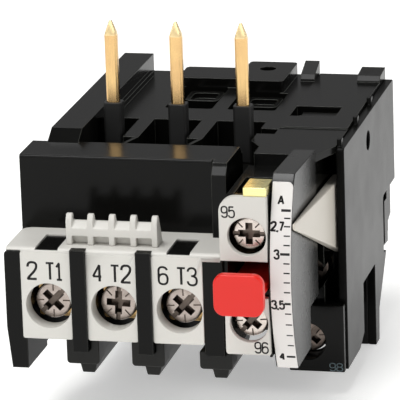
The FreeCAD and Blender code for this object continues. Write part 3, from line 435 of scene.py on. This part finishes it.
def printed(name, words, corner, height, width, line, material, lean=0.0):
    """Single-stroke signs on a front face, from their lower left corner in metres.
    Height, width and line are in millimetres. The face may lean back by an angle."""
    gap, space, flatness = 0.3 * width, 0.8 * width, 0.07
    lines = bpy.data.curves.new(name, "CURVE")
    lines.dimensions = "3D"
    lines.bevel_depth = line / 2 * MM
    lines.bevel_resolution = 1
    lines.resolution_u = 5
    lines.use_fill_caps = True
    across = 0.0
    for sign in words:
        if sign == " ":
            across += space
            continue
        wide, strokes = STROKES[sign]
        for stroke in strokes:
            spline = lines.splines.new("NURBS")
            spline.points.add(len(stroke) - 1)
            for point, (u, v) in zip(spline.points, stroke):
                point.co = ((across + u * wide * width) * MM, 0, (v - 0.5) * height * MM, 1)
            spline.order_u = 3 if len(stroke) > 2 else 2
            spline.use_endpoint_u = True
        across += wide * width + gap
    piece = bpy.data.objects.new(name, lines)
    bpy.context.scene.collection.objects.link(piece)
    only(piece)
    bpy.ops.object.convert(target="MESH")
    piece = bpy.context.object
    piece.scale = (1, flatness, 1)
    bpy.ops.object.transform_apply(location=False, rotation=False, scale=True)
    piece.rotation_euler = (-lean, 0, 0)
    piece.location = Vector(corner) + Vector((0, 0, height / 2 * MM))
    bpy.ops.object.transform_apply(location=True, rotation=True, scale=True)
    piece.data.materials.append(material)
    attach(piece, "housing")


# Thin matt ink, black but duller than the plastic round it.
pad_ink = moulded("black_pad_ink", "#0E0E0E", "#141414", roughness=0.5, grain_mm=0.2,
                  grain_depth=0.004, specular=0.3)
pole_pitch, first_inset, number_above = 11.2 * MM, 3.75 * MM, 10.4 * MM
for i, words in enumerate(("2 T1", "4 T2", "6 T3")):
    corner = cover_low + Vector((first_inset + pole_pitch * i, 0, number_above))
    printed(f"number_pole_{i + 1}", words, corner, height=2.85, width=1.5, line=0.42,
            material=pad_ink)
for words, cover, inset, above in (("95", "aux_cover_upper", 0.5, 7.5),
                                   ("96", "aux_cover_lower", 4.9, 0.4)):
    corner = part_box(cover)[0] + Vector((inset, 0, above)) * MM
    printed("number_" + words, words, corner, height=1.75, width=0.95, line=0.3, material=pad_ink)


# --- Label comb -------------------------------------------------------------
# A small comb in the same light grey, moulded apart and clipped to the shelf;
# marking tags slide in between its teeth.

piece = clean_copy("label_comb")
soften(piece, 0.14)
finish_piece(piece, "label_comb", light_grey)


# --- Wire guides ------------------------------------------------------------
# Charcoal polyamide feet that straddle the dividers and keep the wires apart. Each
# is moulded as a piece of its own.

# Softer in tone than the black, with similar greyish painted highlights along its edges.
charcoal = moulded("charcoal_polyamide", "#0F0F0D", "#161614", roughness=0.34, grain_mm=0.25,
                   grain_depth=0.015, specular=0.2, edge_highlight="#4A4B44")
for i in (1, 2, 3):
    piece = clean_copy(f"wire_guide_{i}")
    soften(piece, 0.2)
    finish_piece(piece, f"wire_guide_{i}", charcoal)


# --- Reset button -----------------------------------------------------------
# Signal-red polyamide push button: a plate with large round corners in front, and
# the stem behind it that runs in the terminal block.

# Through-coloured and polished, so that it shows a soft highlight.
signal_red = moulded("signal_red_polyamide", "#D0180D", "#D41D11", roughness=0.3, grain_mm=0.3,
                     grain_depth=0.008, specular=0.4)
piece = clean_copy("reset_button")
button_low, button_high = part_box("reset_button")
plate_back = button_low.y + 1.7 * MM
stem_top = button_high.z - 0.2 * MM
stem_lowered = 3.5 * MM
plate_narrowed = 0.955
near = 0.05 * MM
only(piece)
bpy.ops.object.mode_set(mode="EDIT")
# The stem's upper side comes down, and the plate draws in towards its left edge.
pick_edges(piece, lambda co: abs(co.z - stem_top) < near and co.y > plate_back - near)
bpy.ops.transform.translate(value=(0, 0, -stem_lowered))
pick_edges(piece, lambda co: co.y < plate_back + near)
bpy.ops.transform.resize(value=(plate_narrowed, 1, 1), center_override=tuple(button_low))
bpy.ops.object.mode_set(mode="OBJECT")
soften(piece, 0.3)
finish_piece(piece, "reset_button", signal_red)


# --- Current scale ----------------------------------------------------------
# A curved black wall carries a white film with the ampere scale. The warm grey
# pointer swings behind it about a pin in the housing.

# Polished black, which mirrors the pale studio on its curved flank. Its colour is lighter than the
# housing's black, a painted sheen on top of that reflection.
glossy_wall_painted_sheen = moulded("black_wall_painted_sheen", "#151514", "#1A1A19", roughness=0.26, grain_mm=0.25,
                      grain_depth=0.008, specular=0.3)
piece = clean_copy("scale_wall")
soften(piece, 0.2)
finish_piece(piece, "scale_wall", glossy_wall_painted_sheen)

# Off-white printed film, matt and nearly even.
white_film = moulded("white_film", "#D2CFCC", "#D8D5D2", roughness=0.45, grain_mm=0.3,
                     grain_depth=0.004, specular=0.4)
piece = clean_copy("scale_label")
label_low, label_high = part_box("scale_label")
film_shift, tail_back, tail_rise = 0.28 * MM, 0.4 * MM, 0.75 * MM
film_corner_radius = 0.9 * MM
film_right = label_high.x + film_shift
film_top = label_high.z + tail_rise
only(piece)
bpy.ops.object.mode_set(mode="EDIT")
bpy.ops.mesh.select_all(action="SELECT")
bpy.ops.transform.translate(value=(film_shift, 0, 0))
# The film's upper end is carried on over the wall, and its outer corner is round.
pick_edges(piece, lambda co: co.z > label_high.z - 0.35 * MM)
bpy.ops.transform.translate(value=(0, tail_back, tail_rise))
pick_edges(piece, lambda co: co.z > film_top - 0.45 * MM and co.x > film_right - 0.08 * MM)
bpy.ops.mesh.bevel(offset=film_corner_radius, segments=5, affect="EDGES")
bpy.ops.object.mode_set(mode="OBJECT")
soften(piece, 0.05, 50)
finish_piece(piece, "scale_label", white_film)

# A warmer, smoother grey than the terminal covers.
warm_grey = moulded("warm_grey_polyamide", "#BFB9AE", "#C4BEB4", roughness=0.36, grain_mm=0.25,
                    grain_depth=0.02, specular=0.4)
piece = clean_copy("setting_pointer")
soften(piece, 0.2)
finish_piece(piece, "setting_pointer", warm_grey)


# --- Scale marks ------------------------------------------------------------
# Lines and numbers printed on the white film in the covers' ink. They follow its
# curve about the pointer's pin.

dial_y, dial_z = -0.6 * MM, 28.2 * MM
dial_radius = dial_y - label_low.y


def on_film(height):
    """Depth and lean of the film at a height above the table."""
    lean = math.asin((height - dial_z) / dial_radius)
    return dial_y - dial_radius * math.cos(lean), lean


# From the top down. The two end lines and those beside 3 and 3,5 are thick, and
# their lengths are listed one by one.
line_heights = (40.2, 39.0, 37.7, 36.2, 34.7, 33.25, 31.7, 30.1, 28.5, 26.8, 24.8, 23.0, 21.0,
                19.0, 17.05, 14.8)
thick_lengths = {0: 1.6, 5: 1.6, 10: 1.05, 15: 1.45}
thin_length, thin_line, thick_line = 1.05, 0.24, 0.42
edge_gap, ink_depth = 0.15 * MM, 0.015 * MM
for i, height in enumerate(line_heights):
    length = thick_lengths.get(i, thin_length) * MM
    thickness = (thick_line if i in thick_lengths else thin_line) * MM
    depth, lean = on_film(height * MM)
    bpy.ops.object.select_all(action="DESELECT")
    bpy.ops.mesh.primitive_plane_add(size=1, location=(0, 0, 0))
    piece = bpy.context.object
    piece.name = f"scale_line_{i + 1}"
    piece.scale = (length, thickness, 1)
    piece.rotation_euler = (math.pi / 2 - lean, 0, 0)
    piece.location = (film_right - edge_gap - length / 2, depth, height * MM)
    bpy.ops.object.transform_apply(location=True, rotation=True, scale=True)
    bpy.ops.object.mode_set(mode="EDIT")
    bpy.ops.mesh.select_all(action="SELECT")
    bpy.ops.mesh.extrude_region_move(TRANSFORM_OT_translate={"value": (0, ink_depth, 0)})
    bpy.ops.mesh.select_all(action="SELECT")
    bpy.ops.mesh.normals_make_consistent(inside=False)
    bpy.ops.object.mode_set(mode="OBJECT")
    piece.data.materials.append(pad_ink)
    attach(piece, "housing")

# Each number's distance from the film's left edge, and the height of its middle.
sign_height, sign_width, sign_line = 1.36, 0.72, 0.37
for words, inset, height in (("A", 1.45, 41.8), ("2,7", 0.45, 37.7), ("3", 1.05, 33.2),
                             ("3,5", 0.45, 24.6), ("4", 1.0, 14.8)):
    depth, lean = on_film(height * MM)
    corner = (label_low.x + inset * MM, depth, (height - sign_height / 2) * MM)
    printed("scale_" + words.replace(",", "_"), words, corner, height=sign_height, width=sign_width,
            line=sign_line, material=pad_ink, lean=lean)


# --- Rear terminal number ---------------------------------------------------
# Pad print in grey-white ink, low on the front of the rear terminal block and
# smaller than the numbers on the covers.

# Thin white ink over black, which comes out a cool grey.
white_ink = moulded("white_pad_ink", "#74868C", "#7F9197", roughness=0.5, grain_mm=0.2,
                    grain_depth=0.004, specular=0.3)
inset, above = 7.1, 4.5
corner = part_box("rear_terminal_block")[0] + Vector((inset, 0, above)) * MM
printed("number_98", "98", corner, height=1.3, width=0.95, line=0.2, material=white_ink)


# --- Brass parts ------------------------------------------------------------
# Plug blades stamped from drawn brass strip, clamps and terminal bars of the
# same strip, bright with fine lines along the drawing direction.

def drawn_metal(name, base, stain, roughness, streak_mm, along, stain_mm=2.5):
    """Metal with fine streaks, drawn out along axis 0, 1 or 2, and slight stains."""
    shortened, streak_depth = 0.04, 0.008
    material, tree = new_material(name)
    place = node(tree, "ShaderNodeTexCoord").outputs["Object"]
    stretch = node(tree, "ShaderNodeMapping", [(place, "Vector")])
    stretch.inputs["Scale"].default_value = tuple(
        shortened if i == along else 1.0 for i in range(3))
    streaks = node(tree, "ShaderNodeTexNoise", [(stretch.outputs["Vector"], "Vector")],
                   scale=1 / (streak_mm * MM), detail=3.0)
    blotches = node(tree, "ShaderNodeTexNoise", [(place, "Vector")],
                    scale=1 / (stain_mm * MM), detail=4.0)
    colour = node(tree, "ShaderNodeMix", [(blotches.outputs["Fac"], "Factor")], data_type="RGBA")
    colour.inputs["A"].default_value = linear(base)
    colour.inputs["B"].default_value = linear(stain)
    bump = node(tree, "ShaderNodeBump", [(streaks.outputs["Fac"], "Height")],
                strength=0.4, distance=streak_depth * MM)
    gloss = node(tree, "ShaderNodeMapRange", [(streaks.outputs["Fac"], "Value")])
    gloss.inputs["To Min"].default_value = roughness - 0.08
    gloss.inputs["To Max"].default_value = roughness + 0.1
    shader = node(tree, "ShaderNodeBsdfPrincipled", [
        (colour.outputs["Result"], "Base Color"),
        (gloss.outputs["Result"], "Roughness"),
        (bump.outputs["Normal"], "Normal"),
    ], metallic=1.0)
    node(tree, "ShaderNodeOutputMaterial", [(shader.outputs["BSDF"], "Surface")])
    return material


# Warm yellow with browner stains; the lug's rolled strip is paler. The blades' points, the faces
# that look up, are painted paler still: a painted highlight.
brass = drawn_metal("drawn_brass", "#EACB8C", "#C0946A", roughness=0.22, streak_mm=0.12, along=2,
                    stain_mm=7.0)
pale_brass = drawn_metal("pale_rolled_brass", "#F2EAAC", "#DCD08E", roughness=0.26, streak_mm=0.12,
                         along=0, stain_mm=4.0)
tip_brass_painted_highlight = drawn_metal("tip_brass_painted_highlight", "#F6DFAC", "#E6CB97", roughness=0.3, streak_mm=0.12,
                           along=2, stain_mm=7.0)
for name in sorted(nodes):
    if slots[name] == "brass":
        piece = clean_copy(name)
        soften(piece, 0.1)
        finish_piece(piece, name, pale_brass if name == "contact_lug" else brass)
        # On a blade, the faces that look up are those of the point, and they get the painted
        # highlight.
        if name.startswith("plug_pin"):
            piece.data.materials.append(tip_brass_painted_highlight)
            for face in piece.data.polygons:
                looks_up = face.normal.z > 0.05
                face.material_index = 1 if looks_up else 0


# --- Terminal screws --------------------------------------------------------
# Nickel-plated steel screws with a combined slot and cross recess. Each is
# cold-headed, with a rounded rim and four short witness lines between the arms.

# Warm grey plating, with fine lines and stains. Lighter and darker copies of it paint light and
# shade: lighter on the small front screws, darker on the rear ones, and darker in the recesses,
# where light hardly enters.
nickel = drawn_metal("nickel_plate", "#B5AAA3", "#857A73", roughness=0.24, streak_mm=0.2, along=0,
                     stain_mm=1.2)
nickel_painted_light = drawn_metal("nickel_plate_painted_light", "#DCD2CA", "#ADA29A", roughness=0.24,
                            streak_mm=0.2, along=0, stain_mm=1.2)
nickel_painted_shade = drawn_metal("nickel_plate_painted_shade", "#7C716A", "#5E544E", roughness=0.34, streak_mm=0.2,
                          along=0, stain_mm=1.2)
recess_nickel_painted_shade = drawn_metal("nickel_recess_painted_shade", "#6E645D", "#4F4640", roughness=0.35, streak_mm=0.2,
                            along=0, stain_mm=1.2)
head_height, rim_radius, shank_radius = 2.0, 0.4, 1.65
thread_pitch, thread_root = 0.7, 0.84


def screw_blank(radius, length):
    """A screw along +Y with its head's face at Y = 0 and its axis through the origin.
    Rings stand for its thread, which lies hidden behind the head."""
    bpy.ops.object.select_all(action="DESELECT")
    bpy.ops.mesh.primitive_cylinder_add(vertices=48, radius=radius * MM, depth=head_height * MM,
                                        rotation=(math.pi / 2, 0, 0),
                                        location=(0, head_height / 2 * MM, 0))
    blank = bpy.context.object
    bpy.ops.object.transform_apply(location=True, rotation=True, scale=True)
    bpy.ops.object.mode_set(mode="EDIT")
    pick_edges(blank, lambda co: co.y < 0.01 * MM)
    bpy.ops.mesh.bevel(offset=rim_radius * MM, segments=4, affect="EDGES")
    bpy.ops.mesh.select_mode(type="FACE")
    shape = bmesh.from_edit_mesh(blank.data)
    for face in shape.faces:
        face.select_set(face.normal.y > 0.9)
    bmesh.update_edit_mesh(blank.data)
    bpy.ops.mesh.inset(thickness=(radius - shank_radius) * MM)
    half_pitch = {"value": (0, thread_pitch / 2 * MM, 0)}
    for _ in range(int((length - head_height) / thread_pitch)):
        for share in (thread_root, 1 / thread_root):
            bpy.ops.mesh.extrude_region_move(TRANSFORM_OT_translate=half_pitch)
            bpy.ops.transform.resize(value=(share, 1, share))
    bpy.ops.object.mode_set(mode="OBJECT")

    # The cutters stand half in front of the head, and one arm is a hair deeper than
    # the other, so that their floors are never one face. The arms and the witness
    # lines are as long as their share of the head's radius.
    arm, arm_width, arm_depth, arm_taper = radius * 1.62, 1.5, 1.5, 0.6
    slit_width, slit_depth = 0.75, 0.5
    mark_width, mark_depth, mark_length = 0.24, 0.2, radius * 0.45
    mark_middle = (0, 0, radius * 0.74)
    cut(blank, cutter((arm_width, 2 * arm_depth, arm), (0, 0, 0), taper=arm_taper))
    cut(blank, cutter((arm, 2 * arm_depth + 0.01, arm_width), (0, 0, 0), taper=arm_taper))
    cut(blank, cutter((slit_width, 2 * slit_depth, radius * 3), (0, 0, 0)))
    for k in range(4):
        cut(blank, cutter((mark_width, 2 * mark_depth, mark_length), mark_middle,
                          turn=math.radians(45 + 90 * k)))
    bpy.ops.object.shade_smooth_by_angle(angle=math.radians(30))
    return blank


# How far each screw was turned when it was tightened, in degrees.
screw_turns = {
    "terminal_screw_1": 45, "terminal_screw_2": 3, "terminal_screw_3": 42,
    "aux_screw_upper": 90, "aux_screw_lower": 40,
    "rear_screw_lower": 40, "rear_screw_upper": 10,
}
# By kind: the plating's colour, with painted light on the front screws and painted shade on the
# rear ones, and how much fuller in radius and further out than in the CAD model the head is, in
# millimetres.
nickel_lit_or_shaded = {"terminal": nickel, "aux": nickel_painted_light, "rear": nickel_painted_shade}
fuller = {"terminal": 0.15, "aux": 0.1, "rear": 0.1}
further_out = {"terminal": 0, "aux": 1.2, "rear": 0}
# The recess begins a little inside the rim and a little below the face.
rim_width, skin = 0.25, 0.1
for name, turn in screw_turns.items():
    kind = name.split("_")[0]
    low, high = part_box(name)
    radius = (high.z - low.z) / 2 / MM + fuller[kind]
    piece = screw_blank(radius, (high.y - low.y) / MM)
    piece.name = name + "_finished"
    piece.rotation_euler = (0, math.radians(turn), 0)
    face_middle = Vector(((low.x + high.x) / 2, low.y - further_out[kind] * MM,
                          (low.z + high.z) / 2))
    piece.location = face_middle
    only(piece)
    bpy.ops.object.transform_apply(location=True, rotation=True, scale=True)
    finish_piece(piece, name, nickel_lit_or_shaded[kind])
    # The faces inside the recess get the darker copy, as painted shade.
    piece.data.materials.append(recess_nickel_painted_shade)
    for face in piece.data.polygons:
        across, depth, above = face.center - face_middle
        inside = math.hypot(across, above) < (radius - rim_width) * MM
        if inside and skin * MM < depth < (head_height - skin) * MM:
            face.material_index = 1


# --- Trip mechanism ---------------------------------------------------------
# Inside: heater ribbon wound on steel-backed bimetal strips, and the cream
# polyamide slide and lever that the strips push.

# Dull brown-yellow ribbon, and cream plastic left matt by its tool.
ribbon = drawn_metal("heater_ribbon", "#B89A6A", "#A88A5C", roughness=0.4, streak_mm=0.12, along=1)
cream = moulded("cream_polyamide", "#D8CFB5", "#DED6BE", roughness=0.4, grain_mm=0.25,
                grain_depth=0.02, specular=0.4)
inner = {"winding": ribbon, "cream_plastic": cream, "nickel_steel": nickel}
for name, piece in nodes.items():
    if not piece.hide_render and slots[name] in inner:
        refinish(name, inner[slots[name]])
